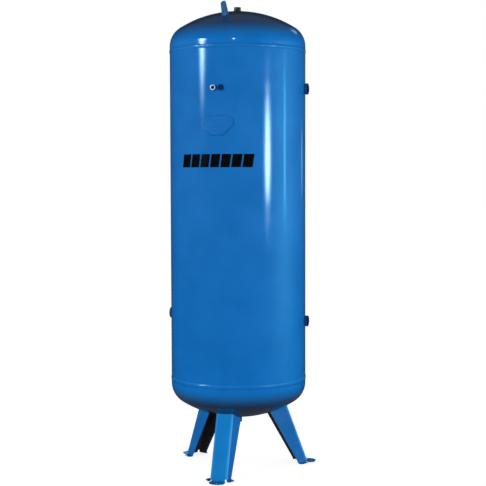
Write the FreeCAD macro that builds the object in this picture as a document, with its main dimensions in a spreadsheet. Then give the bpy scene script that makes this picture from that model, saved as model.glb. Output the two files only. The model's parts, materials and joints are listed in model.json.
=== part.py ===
import FreeCAD, Part

# Vertical air receiver: a welded steel vessel on three pressed legs.
# Frame: millimetres, +Z up, the floor at Z = 0, the tank's axis on Z, and the front (front leg,
# gauge bosses and data plate) towards -Y.

import math
import os

import Sketcher

# The driving dimensions. Every sub-part is bound to these cells of the sheet.
DIMENSIONS = {
    # Vessel: standard semi-ellipsoidal heads, crown radius 0.8 and knuckle radius 0.154 of the diameter
    "shell_dia": 600.0,
    "wall": 4.0,
    "lower_seam": 405.0,
    "upper_seam": 1850.0,
    "root_gap": 2.0,
    "crown_radius": 480.0,
    "knuckle_radius": 92.4,
    "straight_flange": 23.0,
    "bead_width": 18.0,
    "bead_height": 1.8,
    # Legs: U channels of pressed sheet that splay outwards to their feet
    "leg_foot_radius": 317.0,
    "leg_splay": 0.3712,
    "leg_web_width": 74.0,
    "leg_sheet": 4.0,
    "leg_flange_foot": 47.0,
    "leg_flange_growth": 0.189,
    "leg_flange_flare": 0.142,
    "leg_blank_height": 300.0,
    "leg_bend_radius": 9.0,
    "leg_bead": 6.0,
    "foot_tab_length": 45.0,
    "foot_tab_width": 70.0,
    "foot_hole_dia": 18.0,
    "foot_hole_offset": 25.0,
    "relief_height": 10.0,
    "side_tab_length": 17.0,
    "side_tab_width": 36.0,
    # Lifting lugs
    "lug_radius": 184.0,
    "lug_width": 54.0,
    "lug_height": 60.0,
    "lug_sheet": 13.0,
    "lug_corner": 3.0,
    "lug_inner_crest": 8.0,
    "lug_inner_toe": 10.0,
    "lug_eye_dia": 20.0,
    "lug_eye_height": 37.0,
    "lug_eye_offset": 6.0,
    "lug_bead": 5.0,
    # Threaded sockets: outer diameter and the minor diameter of the thread
    "large_socket_dia": 48.5,
    "large_bore": 38.95,
    "crown_socket_dia": 30.0,
    "crown_bore": 18.63,
    "gauge_socket_dia": 24.0,
    "gauge_bore": 14.95,
    "socket_depth": 8.0,
    "thread_chamfer": 1.5,
    "socket_bead": 6.0,
    "gauge_bead": 4.0,
    "hole_play": 0.3,
    "large_stand": 20.0,
    "top_stand": 20.0,
    "drain_stand": 30.0,
    "gauge_stand": 14.0,
    "outlet_height": 1681.0,
    "inlet_height": 664.0,
    "side_height": 684.0,
    "gauge_height": 1674.0,
    "gauge_offset": 17.0,
    # Plug in the second gauge boss
    "plug_flats": 17.0,
    "plug_head": 9.0,
    "plug_shank_dia": 14.9,
    "plug_shank": 12.0,
    # Data plate and decal
    "plate_height": 1516.0,
    "plate_half_width": 72.0,
    "plate_half_height": 41.0,
    "plate_offset": 6.0,
    "plate_low_corner": 42.0,
    "plate_top_corner_wide": 32.0,
    "plate_top_corner_tall": 14.0,
    "plate_sheet": 1.6,
    "rivet_dia": 6.0,
    "rivet_head": 1.8,
    "decal_height": 1368.0,
    "decal_half_width": 162.0,
    "decal_half_height": 28.0,
    "decal_film": 0.3,
    "decal_offset": 12.0,
    "decal_slant": 8.0,
    "decal_gap": 6.0,
}

DECAL_BARS = 7
# Rivets, as shares of the data plate's half width and half height from its centre
RIVET_PLACES = [(-0.84, 0.3), (0.84, 0.3), (-0.5, -0.78), (0.5, -0.78)]
# How far the ends of the foot tabs bulge, as a share of half their width
WEB_TAB_BULGE = 0.72
SIDE_TAB_BULGE = 0.6
# A fillet bead's outer edge and the flat of its crest, as shares of its leg length
BEAD_TOE = 0.15
BEAD_CREST = 0.25
LUG_BEAD_BEVEL = 0.85
# Half the longitudinal seam's width, as a share of a girth weld's
LONGITUDINAL_BEAD = 0.4
TOLERANCE = 0.01
LEG_AZIMUTHS = {"front": 0.0, "right": 120.0, "left": -120.0}
LUG_AZIMUTHS = {"front": 0.0, "rear": 180.0}
LONGITUDINAL_SEAM_AZIMUTH = 165.0
DOWN = FreeCAD.Rotation(FreeCAD.Vector(1, 0, 0), 180)

doc = FreeCAD.newDocument("air_receiver")
sheet = doc.addObject("Spreadsheet::Sheet", "dims")


class Size:
    """A length that knows its value and its formula in the sheet's cells."""

    def __init__(self, value, formula):
        self.value = value
        self.formula = formula

    @staticmethod
    def of(other):
        return other if isinstance(other, Size) else Size(float(other), "(%r)" % float(other))

    def join(self, other, sign, value):
        return Size(value, "(%s %s %s)" % (self.formula, sign, other.formula))

    def __add__(self, other):
        other = Size.of(other)
        return self.join(other, "+", self.value + other.value)

    def __sub__(self, other):
        other = Size.of(other)
        return self.join(other, "-", self.value - other.value)

    def __mul__(self, other):
        other = Size.of(other)
        return self.join(other, "*", self.value * other.value)

    def __truediv__(self, other):
        other = Size.of(other)
        return self.join(other, "/", self.value / other.value)

    def __neg__(self):
        return Size.of(0) - self

    def root(self):
        return Size(math.sqrt(self.value), "sqrt(%s)" % self.formula)


class Dims:
    """The sheet's cells as sizes."""


dims = Dims()
for row, (alias, number) in enumerate(DIMENSIONS.items(), start=1):
    sheet.set("A%d" % row, alias.replace("_", " "))
    sheet.set("B%d" % row, str(number))
    sheet.setAlias("B%d" % row, alias)
    setattr(dims, alias, Size(number, "dims." + alias))
doc.recompute()

ZERO = Size.of(0)


def hypotenuse_leg(long_side, short_side):
    return (long_side * long_side - short_side * short_side).root()


# Sizes that follow from the driving dimensions
radius = dims.shell_dia / 2
inner_radius = radius - dims.wall
knuckle_centre = radius - dims.knuckle_radius
crown_to_knuckle = dims.crown_radius - dims.knuckle_radius
crown_centre_drop = hypotenuse_leg(crown_to_knuckle, knuckle_centre)
dish_depth = dims.crown_radius - crown_centre_drop
head_height = dims.straight_flange + dish_depth
top_apex = dims.upper_seam + head_height
bottom_apex = dims.lower_seam - head_height
half_gap = dims.root_gap / 2


# Sketch helpers

def new_body(label):
    body = doc.addObject("PartDesign::Body", label)
    body.Label = label
    return body


def new_sketch(body, name, plane, height=None):
    """A sketch on one of the body's own origin planes, raised along its normal by a height."""
    sketch = body.newObject("Sketcher::SketchObject", name)
    support = [item for item in body.Origin.OriginFeatures if item.Role == plane][0]
    sketch.AttachmentSupport = [(support, "")]
    sketch.MapMode = "FlatFace"
    if height is not None:
        sketch.AttachmentOffset = FreeCAD.Placement(FreeCAD.Vector(0, 0, height.value), FreeCAD.Rotation())
        sketch.setExpression("AttachmentOffset.Base.z", height.formula)
    return sketch


def bind(sketch, constraint, size):
    index = sketch.addConstraint(constraint)
    sketch.setExpression("Constraints[%d]" % index, size.formula)


def pin_point(sketch, geometry, position, corner):
    """Holds a point of the sketch at a corner given by two sizes."""
    across, up = corner
    bind(sketch, Sketcher.Constraint("DistanceX", -1, 1, geometry, position, across.value), across)
    bind(sketch, Sketcher.Constraint("DistanceY", -1, 1, geometry, position, up.value), up)


def flat(corner):
    return FreeCAD.Vector(corner[0].value, corner[1].value, 0)


def draw_outline(sketch, corners, arcs=None):
    """A closed outline. arcs maps a corner's number to the centre and radius of the arc that leaves it."""
    arcs = arcs or {}
    first = sketch.GeometryCount
    count = len(corners)
    for number, corner in enumerate(corners):
        start = flat(corner)
        end = flat(corners[(number + 1) % count])
        if number in arcs:
            centre, bend = arcs[number]
            middle = flat(centre)
            outward = (start - middle) + (end - middle)
            outward.normalize()
            geometry = Part.Arc(start, middle + outward * bend.value, end)
        else:
            geometry = Part.LineSegment(start, end)
        sketch.addGeometry(geometry, False)
    for number, corner in enumerate(corners):
        here = first + number
        after = first + (number + 1) % count
        leaving, arriving = ends_of(sketch, here, corner)
        next_leaving = ends_of(sketch, after, corners[(number + 1) % count])[0]
        sketch.addConstraint(Sketcher.Constraint("Coincident", here, arriving, after, next_leaving))
        pin_point(sketch, here, leaving, corner)
    for number, (centre, bend) in arcs.items():
        bind(sketch, Sketcher.Constraint("Radius", first + number, bend.value), bend)


def ends_of(sketch, geometry, corner):
    """Which end of a line or arc lies on the corner, 1 or 2, and which is the other."""
    start = sketch.getPoint(geometry, 1)
    return (1, 2) if (start - flat(corner)).Length < 1e-6 else (2, 1)


def draw_circle(sketch, corner, bend):
    circle = Part.Circle(flat(corner), FreeCAD.Vector(0, 0, 1), bend.value)
    index = sketch.addGeometry(circle, False)
    pin_point(sketch, index, 3, corner)
    bind(sketch, Sketcher.Constraint("Radius", index, bend.value), bend)


# Feature helpers

def pad(body, sketch, length, reversed_=False, midplane=False):
    feature = body.newObject("PartDesign::Pad", sketch.Name + "_pad")
    feature.Profile = sketch
    feature.Length = length.value
    feature.setExpression("Length", length.formula)
    feature.Reversed = reversed_
    feature.Midplane = midplane
    return finish(body, feature, +1)


def pocket(body, sketch, length, reversed_=False, midplane=False):
    feature = body.newObject("PartDesign::Pocket", sketch.Name + "_pocket")
    feature.Profile = sketch
    feature.Length = length.value
    feature.setExpression("Length", length.formula)
    feature.Reversed = reversed_
    feature.Midplane = midplane
    return finish(body, feature, -1)


def revolve(body, sketch):
    feature = body.newObject("PartDesign::Revolution", sketch.Name + "_turned")
    feature.Profile = sketch
    feature.ReferenceAxis = (sketch, ["V_Axis"])
    feature.Angle = 360
    return finish(body, feature, +1)


def groove(body, sketch):
    feature = body.newObject("PartDesign::Groove", sketch.Name + "_groove")
    feature.Profile = sketch
    feature.ReferenceAxis = (sketch, ["V_Axis"])
    feature.Angle = 360
    return finish(body, feature, -1)


def finish(body, feature, direction):
    """Recomputes, and stops if a feature that should add or cut material doesn't."""
    before = body.Shape.Volume if not body.Shape.isNull() else 0.0
    doc.recompute()
    change = (body.Shape.Volume - before) * direction
    if change <= 0:
        raise RuntimeError("%s changes nothing" % feature.Name)
    return feature


def soften(body, kind, size, chosen):
    """A Fillet or Chamfer on the edges of the body's tip that the test picks."""
    base = body.Tip
    names = ["Edge%d" % number for number, edge in enumerate(base.Shape.Edges, start=1) if chosen(edge)]
    if not names:
        raise RuntimeError("no edge to soften on %s" % body.Label)
    feature = body.newObject("PartDesign::" + kind, "%s_%s" % (body.Name, kind.lower()))
    feature.Base = (base, names)
    cell = "Radius" if kind == "Fillet" else "Size"
    setattr(feature, cell, size.value)
    feature.setExpression(cell, size.formula)
    doc.recompute()
    return feature


def ends(edge):
    return [vertex.Point for vertex in edge.Vertexes]


def turned(azimuth):
    """Placement of something modelled at the front, moved to an azimuth (positive towards +X)."""
    return FreeCAD.Placement(FreeCAD.Vector(), FreeCAD.Rotation(FreeCAD.Vector(0, 0, 1), azimuth))


def pointing(direction):
    return FreeCAD.Rotation(FreeCAD.Vector(0, 0, 1), FreeCAD.Vector(*direction))


# Vessel

def dished_profile(sketch, outer, inner, seam, side):
    """Half section of a dished head. side is +1 for the top head and -1 for the bottom head."""
    tangent = seam + dims.straight_flange * side
    crown_centre = tangent - crown_centre_drop * side
    knuckle = (radius - dims.knuckle_radius, tangent)
    crown = (ZERO, crown_centre)
    edge = seam + half_gap * side
    corners = [(outer, edge), (outer, tangent)]
    arcs = {}
    outer_knuckle = dims.knuckle_radius + (outer - radius)
    inner_knuckle = dims.knuckle_radius + (inner - radius)
    outer_crown = dims.crown_radius + (outer - radius)
    inner_crown = dims.crown_radius + (inner - radius)
    arcs[1] = (knuckle, outer_knuckle)
    corners.append(on_crown(crown_centre, outer_crown, side))
    arcs[2] = (crown, outer_crown)
    corners.append((ZERO, crown_centre + outer_crown * side))
    corners.append((ZERO, crown_centre + inner_crown * side))
    arcs[4] = (crown, inner_crown)
    corners.append(on_crown(crown_centre, inner_crown, side))
    arcs[5] = (knuckle, inner_knuckle)
    corners.append((inner, tangent))
    corners.append((inner, edge))
    draw_outline(sketch, corners, arcs)


def on_crown(crown_centre, bend, side):
    """The point where the crown arc of that radius meets its knuckle arc."""
    across = bend * knuckle_centre / crown_to_knuckle
    rise = bend * crown_centre_drop / crown_to_knuckle
    return (across, crown_centre + rise * side)


def make_head(label, seam, side):
    body = new_body(label)
    sketch = new_sketch(body, label + "_section", "XZ_Plane")
    dished_profile(sketch, radius, inner_radius, seam, side)
    revolve(body, sketch)
    hole = new_sketch(body, label + "_hole", "XY_Plane", seam)
    draw_circle(hole, (ZERO, ZERO), dims.crown_socket_dia / 2 + dims.hole_play)
    pocket(body, hole, head_height + dims.wall, reversed_=(side > 0))
    return body


def make_shell():
    body = new_body("shell")
    section = new_sketch(body, "shell_section", "XY_Plane", dims.lower_seam + half_gap)
    draw_circle(section, (ZERO, ZERO), radius)
    draw_circle(section, (ZERO, ZERO), inner_radius)
    pad(body, section, dims.upper_seam - dims.lower_seam - dims.root_gap)
    large_hole = dims.large_socket_dia / 2 + dims.hole_play
    right = new_sketch(body, "right_holes", "YZ_Plane")
    draw_circle(right, (ZERO, dims.outlet_height), large_hole)
    draw_circle(right, (ZERO, dims.inlet_height), large_hole)
    pocket(body, right, dims.shell_dia, reversed_=True)
    left = new_sketch(body, "left_hole", "YZ_Plane")
    draw_circle(left, (ZERO, dims.side_height), large_hole)
    pocket(body, left, dims.shell_dia)
    front = new_sketch(body, "gauge_holes", "XZ_Plane")
    for side in (-1, 1):
        hole = dims.gauge_socket_dia / 2 + dims.hole_play
        draw_circle(front, (dims.gauge_offset * side, dims.gauge_height), hole)
    pocket(body, front, dims.shell_dia, reversed_=True)
    return body


def make_girth_weld(label, seam):
    """A butt weld: its root fills the gap and its cap stands proud of both plates."""
    body = new_body(label)
    sketch = new_sketch(body, label + "_section", "XZ_Plane")
    half_width = dims.bead_width / 2
    cap_radius = (half_width * half_width + dims.bead_height * dims.bead_height) / (dims.bead_height * 2)
    cap_centre = (radius + dims.bead_height - cap_radius, seam)
    corners = [
        (inner_radius, seam - half_gap),
        (radius, seam - half_gap),
        (radius, seam - half_width),
        (radius, seam + half_width),
        (radius, seam + half_gap),
        (inner_radius, seam + half_gap),
    ]
    draw_outline(sketch, corners, {2: (cap_centre, cap_radius)})
    revolve(body, sketch)
    return body


def make_longitudinal_weld():
    """The seam of the rolled shell, on the side away from the gauge bosses."""
    body = new_body("longitudinal_weld")
    foot = dims.lower_seam + dims.bead_width / 2
    section = new_sketch(body, "longitudinal_section", "XY_Plane", foot)
    half_width = dims.bead_width * LONGITUDINAL_BEAD
    sagitta = radius - hypotenuse_leg(radius, half_width)
    bend = (half_width * half_width + dims.bead_height * dims.bead_height) / (dims.bead_height * 2)
    cap_centre = (ZERO, -(radius + dims.bead_height - sagitta - bend))
    left = (-half_width, sagitta - radius)
    right = (half_width, sagitta - radius)
    draw_outline(section, [left, right], {0: (cap_centre, bend), 1: ((ZERO, ZERO), radius)})
    pad(body, section, dims.upper_seam - dims.lower_seam - dims.bead_width)
    body.Placement = turned(LONGITUDINAL_SEAM_AZIMUTH)
    return body


# Legs

def channel_bend(half_web, outer, side, bend):
    """Where a bend of the channel leaves the web and meets the flange, and its centre."""
    flare = dims.leg_flange_flare
    slant = (flare * flare + 1).root()
    along = bend * (slant - flare)
    rise = along / slant
    on_web = ((half_web - along) * side, -outer)
    on_flange = ((half_web + flare * rise) * side, rise - outer)
    centre = ((half_web - along) * side, bend - outer)
    return on_web, on_flange, centre


def channel_side(height, spread, side, inset):
    """Half of a leg's plan section: flange tip, both ends of the bend, and the bend's arc."""
    outer = dims.leg_foot_radius - dims.leg_splay * height
    depth = dims.leg_flange_foot + dims.leg_flange_growth * height
    half_web = dims.leg_web_width / 2
    tip = half_web + dims.leg_flange_flare * depth
    shift = spread - inset
    bend = dims.leg_bend_radius + shift
    on_web, on_flange, centre = channel_bend(half_web + shift, outer + shift, side, bend)
    lip = ((tip + shift) * side, depth - outer + spread)
    return [lip, on_flange, on_web], (centre, bend)


def channel_corners(height, spread):
    """Plan section of a leg at a height, a bent open U. spread makes its outside larger."""
    right, right_bend = channel_side(height, spread, 1, ZERO)
    left, left_bend = channel_side(height, spread, -1, ZERO)
    inner_left, inner_left_bend = channel_side(height, spread, -1, dims.leg_sheet + spread)
    inner_right, inner_right_bend = channel_side(height, spread, 1, dims.leg_sheet + spread)
    corners = right + left[::-1] + inner_left + inner_right[::-1]
    return corners, {1: right_bend, 3: left_bend, 7: inner_left_bend, 9: inner_right_bend}


def filled_corners(height, spread):
    """The leg's plan section with its hollow filled, open at the back by more than the bead."""
    right, right_bend = channel_side(height, ZERO, 1, ZERO)
    left, left_bend = channel_side(height, ZERO, -1, ZERO)
    back = spread * 2
    behind = [(left[0][0], left[0][1] + back), (right[0][0], right[0][1] + back)]
    return right + left[::-1] + behind, {1: right_bend, 3: left_bend}


def loft_channel(body, kind, section, spread):
    """A ruled loft of the channel's plan section from the floor to the top of the blank."""
    name = "%s_%s" % (body.Name, "channel" if kind == "AdditiveLoft" else "hollow")
    lower = new_sketch(body, name + "_foot", "XY_Plane", ZERO)
    draw_outline(lower, *section(ZERO, spread))
    upper = new_sketch(body, name + "_top", "XY_Plane", dims.leg_blank_height)
    draw_outline(upper, *section(dims.leg_blank_height, spread))
    loft = body.newObject("PartDesign::" + kind, name)
    loft.Profile = lower
    loft.Sections = [upper]
    loft.Ruled = True
    finish(body, loft, +1 if kind == "AdditiveLoft" else -1)


def cut_by_bottom_head(body):
    """Trims whatever reaches into the bottom head."""
    sketch = new_sketch(body, body.Name + "_trim", "XZ_Plane")
    tangent = dims.lower_seam - dims.straight_flange
    crown_centre = tangent + crown_centre_drop
    bend = dims.crown_radius
    rim = on_crown(crown_centre, bend, -1)
    corners = [(ZERO, crown_centre - bend), rim, (rim[0], tangent), (ZERO, tangent)]
    draw_outline(sketch, corners, {0: ((ZERO, crown_centre), bend)})
    groove(body, sketch)


def make_leg(label, azimuth):
    body = new_body(label)
    loft_channel(body, "AdditiveLoft", channel_corners, ZERO)
    cut_by_bottom_head(body)
    make_foot(body)
    body.Placement = turned(azimuth)
    return body


def make_foot(body):
    """Turns out three rounded tabs at the floor, with an anchor hole in the middle one.

    A round relief at each corner keeps the three bends apart.
    """
    half_tab = dims.foot_tab_width / 2
    inside = -(dims.leg_foot_radius - dims.leg_sheet)
    outside = -(dims.leg_foot_radius + dims.foot_tab_length)
    web_tab = new_sketch(body, body.Name + "_web_tab", "XY_Plane")
    shoulder = outside + half_tab * WEB_TAB_BULGE
    rise = shoulder - outside
    arc_radius = (half_tab * half_tab + rise * rise) / (rise * 2)
    corners = [(-half_tab, inside), (-half_tab, shoulder), (half_tab, shoulder), (half_tab, inside)]
    draw_outline(web_tab, corners, {1: ((ZERO, outside + arc_radius), arc_radius)})
    pad(body, web_tab, dims.leg_sheet)
    for side in (-1, 1):
        make_side_tab(body, side)
    hole = new_sketch(body, body.Name + "_anchor", "XY_Plane")
    centre = (ZERO, -(dims.leg_foot_radius + dims.foot_hole_offset))
    draw_circle(hole, centre, dims.foot_hole_dia / 2)
    pocket(body, hole, dims.leg_sheet, reversed_=True)
    notch = new_sketch(body, body.Name + "_notches", "XY_Plane")
    for side in (-1, 1):
        corner = (dims.leg_web_width / 2 * side, -(dims.leg_foot_radius - 1))
        draw_circle(notch, corner, dims.leg_bend_radius)
    pocket(body, notch, dims.relief_height, reversed_=True)


def make_side_tab(body, side):
    name = "%s_%s_tab" % (body.Name, "right" if side > 0 else "left")
    sketch = new_sketch(body, name, "XY_Plane")
    root = dims.leg_web_width / 2
    reach = root + dims.leg_flange_flare * dims.leg_flange_foot + dims.side_tab_length
    front = -(dims.leg_foot_radius - dims.leg_bend_radius)
    back = front + dims.side_tab_width
    bulge = dims.side_tab_width / 2
    shoulder = reach - bulge * SIDE_TAB_BULGE
    rise = reach - shoulder
    arc_radius = (bulge * bulge + rise * rise) / (rise * 2)
    middle = (front + back) / 2
    corners = [(root * side, front), (shoulder * side, front), (shoulder * side, back), (root * side, back)]
    draw_outline(sketch, corners, {1: (((reach - arc_radius) * side, middle), arc_radius)})
    pad(body, sketch, dims.leg_sheet)


def make_leg_weld(label, azimuth):
    """The bead along the outside of the leg where it meets the bottom head."""
    body = new_body(label)
    loft_channel(body, "AdditiveLoft", channel_corners, dims.leg_bead)
    cut_by_bottom_head(body)
    below = new_sketch(body, label + "_below", "XZ_Plane")
    tangent = dims.lower_seam - dims.straight_flange
    crown_centre = tangent + crown_centre_drop
    bend = dims.crown_radius + dims.leg_bead
    rim = on_crown(crown_centre, bend, -1)
    far = rim[0] + dims.shell_dia
    corners = [(ZERO, crown_centre - bend), rim, (far, rim[1]), (far, -dims.wall), (ZERO, -dims.wall)]
    draw_outline(below, corners, {0: ((ZERO, crown_centre), bend)})
    groove(body, below)
    loft_channel(body, "SubtractiveLoft", filled_corners, dims.leg_bead)
    body.Placement = turned(azimuth)
    return body


# Lugs: modelled standing on a crown whose surface passes through the origin

def crown_drop(across):
    """How far the crown's surface falls at a distance from the point it is measured from."""
    return hypotenuse_leg(dims.crown_radius, across) - dims.crown_radius


def lug_placement(azimuth):
    """Square to the crown, at the lug's radius from the tank's axis."""
    tilt = math.degrees(math.asin(DIMENSIONS["lug_radius"] / DIMENSIONS["crown_radius"]))
    crown_centre = (top_apex - dims.crown_radius).value
    lean = FreeCAD.Rotation(FreeCAD.Vector(1, 0, 0), tilt)
    stand = FreeCAD.Placement(FreeCAD.Vector(0, 0, crown_centre), lean)
    lift = FreeCAD.Placement(FreeCAD.Vector(0, 0, DIMENSIONS["crown_radius"]), FreeCAD.Rotation())
    return turned(azimuth).multiply(stand).multiply(lift)


def make_lug(label, azimuth):
    """A plate in line with the tank's axis, sloping off on its inner side."""
    body = new_body(label)
    sketch = new_sketch(body, label + "_outline", "YZ_Plane")
    half = dims.lug_width / 2
    foot = crown_drop(half)
    corners = [
        (-half, foot),
        (half, foot),
        (half, dims.lug_inner_toe),
        (dims.lug_inner_crest, dims.lug_height),
        (dims.lug_corner - half, dims.lug_height),
        (-half, dims.lug_height - dims.lug_corner),
    ]
    draw_outline(sketch, corners, {0: ((ZERO, -dims.crown_radius), dims.crown_radius)})
    pad(body, sketch, dims.lug_sheet, midplane=True)
    eye = new_sketch(body, label + "_eye", "YZ_Plane")
    draw_circle(eye, (-dims.lug_eye_offset, dims.lug_eye_height), dims.lug_eye_dia / 2)
    pocket(body, eye, dims.lug_sheet * 2, midplane=True)
    body.Placement = lug_placement(azimuth)
    return body


def box_corners(half_across, half_up):
    low = [(-half_across, -half_up), (half_across, -half_up)]
    high = [(half_across, half_up), (-half_across, half_up)]
    return low + high


def make_lug_weld(label, azimuth):
    body = new_body(label)
    sketch = new_sketch(body, label + "_ring", "XY_Plane", -dims.wall)
    half_sheet = dims.lug_sheet / 2
    half_width = dims.lug_width / 2
    draw_outline(sketch, box_corners(half_sheet + dims.lug_bead, half_width + dims.lug_bead))
    draw_outline(sketch, box_corners(half_sheet, half_width))
    pad(body, sketch, dims.lug_bead + dims.wall)
    top = DIMENSIONS["lug_bead"]
    inner_edge = DIMENSIONS["lug_sheet"] / 2

    def outer_top(edge):
        points = ends(edge)
        level = all(abs(point.z - top) < TOLERANCE for point in points)
        return level and all(abs(point.x) > inner_edge + TOLERANCE for point in points)

    soften(body, "Chamfer", dims.lug_bead * LUG_BEAD_BEVEL, outer_top)
    cut_by_crown(body)
    body.Placement = lug_placement(azimuth)
    return body


# Sockets: modelled along +Z with the vessel's surface at the origin

def make_socket(label, outer_dia, bore_dia, stand, placement):
    body = new_body(label)
    sketch = new_sketch(body, label + "_section", "XZ_Plane")
    outer = outer_dia / 2
    bore = bore_dia / 2
    edge = dims.thread_chamfer
    corners = [
        (bore, -dims.socket_depth),
        (outer, -dims.socket_depth),
        (outer, stand - edge),
        (outer - edge, stand),
        (bore + edge, stand),
        (bore, stand - edge),
    ]
    draw_outline(sketch, corners)
    revolve(body, sketch)
    body.Placement = placement
    return body


def make_socket_weld(label, outer_dia, bead, placement, surface):
    """A fillet bead round a socket. surface cuts away what lies inside the vessel."""
    body = new_body(label)
    sketch = new_sketch(body, label + "_section", "XZ_Plane")
    inner = outer_dia / 2
    corners = [
        (inner, -dims.wall),
        (inner + bead, -dims.wall),
        (inner + bead, bead * BEAD_TOE),
        (inner + bead * BEAD_CREST, bead),
        (inner, bead),
    ]
    draw_outline(sketch, corners)
    revolve(body, sketch)
    surface(body)
    body.Placement = placement
    return body


def cut_by_shell(body):
    """The shell passes under a side socket as a cylinder along the local Y axis."""
    sketch = new_sketch(body, body.Name + "_shell", "XZ_Plane")
    draw_circle(sketch, (ZERO, -radius), radius)
    pocket(body, sketch, dims.shell_dia, midplane=True)


def cut_by_crown(body):
    """Cuts away what lies inside the crown that the body stands on."""
    sketch = new_sketch(body, body.Name + "_crown", "XZ_Plane")
    reach = dims.lug_width
    fall = crown_drop(reach)
    deep = fall - dims.bead_width
    corners = [(ZERO, ZERO), (reach, fall), (reach, deep), (ZERO, deep)]
    draw_outline(sketch, corners, {0: ((ZERO, -dims.crown_radius), dims.crown_radius)})
    groove(body, sketch)


def side_placement(direction, height):
    """On the shell at a height, with the local Y axis along the tank's axis."""
    outward = FreeCAD.Vector(direction, 0, 0)
    axes = FreeCAD.Rotation(FreeCAD.Vector(), FreeCAD.Vector(0, 0, 1), outward, "ZYX")
    return FreeCAD.Placement(outward * radius.value + FreeCAD.Vector(0, 0, height.value), axes)


def gauge_placement(side):
    """On the front of the shell, square to its surface, at the boss's offset from the centreline."""
    azimuth = math.degrees(math.asin(side * (dims.gauge_offset / radius).value))
    axes = FreeCAD.Rotation(FreeCAD.Vector(), FreeCAD.Vector(0, 0, 1), FreeCAD.Vector(0, -1, 0), "ZYX")
    front = FreeCAD.Placement(FreeCAD.Vector(0, -radius.value, dims.gauge_height.value), axes)
    return turned(azimuth).multiply(front)


def make_plug(label, placement):
    """A hexagon-head plug screwed into the second gauge boss."""
    body = new_body(label)
    shank = new_sketch(body, label + "_shank", "XY_Plane", dims.gauge_stand)
    draw_circle(shank, (ZERO, ZERO), dims.plug_shank_dia / 2)
    pad(body, shank, dims.plug_shank, reversed_=True)
    head = new_sketch(body, label + "_head", "XY_Plane", dims.gauge_stand)
    corner_radius = dims.plug_flats / 3 ** 0.5
    corners = []
    for step in range(6):
        angle = math.radians(60 * step)
        corners.append((corner_radius * math.cos(angle), corner_radius * math.sin(angle)))
    draw_outline(head, corners)
    pad(body, head, dims.plug_head)
    body.Placement = placement
    return body


# Plate and decal: outlines pressed round the shell

def make_skin(label, outlines, height, inside, outside):
    """The part of a thin sleeve round the shell that lies behind outlines seen from the front."""
    block = new_body(label + "_block")
    for number, corners in enumerate(outlines):
        sketch = new_sketch(block, "%s_outline_%d" % (label, number), "XZ_Plane")
        draw_outline(sketch, [(across, up + height) for across, up in corners])
    sleeve_outer = doc.addObject("Part::Cylinder", label + "_outer")
    sleeve_inner = doc.addObject("Part::Cylinder", label + "_inner")
    for cylinder, size in ((sleeve_outer, outside), (sleeve_inner, inside)):
        cylinder.setExpression("Radius", size.formula)
        cylinder.setExpression("Height", dims.shell_dia.formula)
        cylinder.setExpression("Placement.Base.z", (height - radius).formula)
    sleeve = doc.addObject("Part::Cut", label + "_sleeve")
    sleeve.Base = sleeve_outer
    sleeve.Tool = sleeve_inner
    pieces = []
    for sketch in [item for item in block.Group if item.isDerivedFrom("Sketcher::SketchObject")]:
        prism = doc.addObject("Part::Extrusion", sketch.Name + "_prism")
        prism.Base = sketch
        prism.DirMode = "Custom"
        prism.Dir = FreeCAD.Vector(0, -1, 0)
        prism.setExpression("LengthFwd", dims.shell_dia.formula)
        prism.Solid = True
        pieces.append(prism)
    stock = pieces[0]
    if len(pieces) > 1:
        stock = doc.addObject("Part::Compound", label + "_prisms")
        stock.Links = pieces
    skin = doc.addObject("Part::Common", label)
    skin.Label = label
    skin.Base = sleeve
    skin.Tool = stock
    doc.recompute()
    return skin


def plate_outline():
    """A sheet with its corners cut off, a little left of the front."""
    right = dims.plate_half_width - dims.plate_offset
    left = -dims.plate_half_width - dims.plate_offset
    tall = dims.plate_half_height
    low = dims.plate_low_corner
    return [
        (left + low, -tall),
        (right - low, -tall),
        (right, low - tall),
        (right, tall - dims.plate_top_corner_tall),
        (right - dims.plate_top_corner_wide, tall),
        (left + dims.plate_top_corner_wide, tall),
        (left, tall - dims.plate_top_corner_tall),
        (left, low - tall),
    ]


def decal_outlines():
    """A row of plain slanted bars, a little left of the front."""
    bar_pitch = (dims.decal_half_width * 2 + dims.decal_gap - dims.decal_slant) / DECAL_BARS
    tall = dims.decal_half_height
    outlines = []
    for number in range(DECAL_BARS):
        start = bar_pitch * number - dims.decal_half_width - dims.decal_offset
        stop = start + bar_pitch - dims.decal_gap
        lean = dims.decal_slant
        outlines.append([(start, -tall), (stop, -tall), (stop + lean, tall), (start + lean, tall)])
    return outlines


def make_rivets():
    """Four dome-headed rivets at the data plate's corners, as one node."""
    heads = []
    for number, (across, up) in enumerate(RIVET_PLACES):
        head = doc.addObject("Part::Cylinder", "rivet_%d" % number)
        head.setExpression("Radius", (dims.rivet_dia / 2).formula)
        head.setExpression("Height", dims.rivet_head.formula)
        aside = (dims.plate_half_width * across - dims.plate_offset) / radius
        azimuth = math.degrees(math.asin(aside.value))
        reach = (radius + dims.plate_sheet).value + DIMENSIONS["decal_film"]
        level = (dims.plate_height + dims.plate_half_height * up).value
        front = FreeCAD.Placement(FreeCAD.Vector(0, -reach, level), pointing((0, -1, 0)))
        head.Placement = turned(azimuth).multiply(front)
        heads.append(head)
    group = doc.addObject("Part::Compound", "plate_rivets")
    group.Label = "plate_rivets"
    group.Links = heads
    doc.recompute()
    return group


# Assembly

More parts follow.
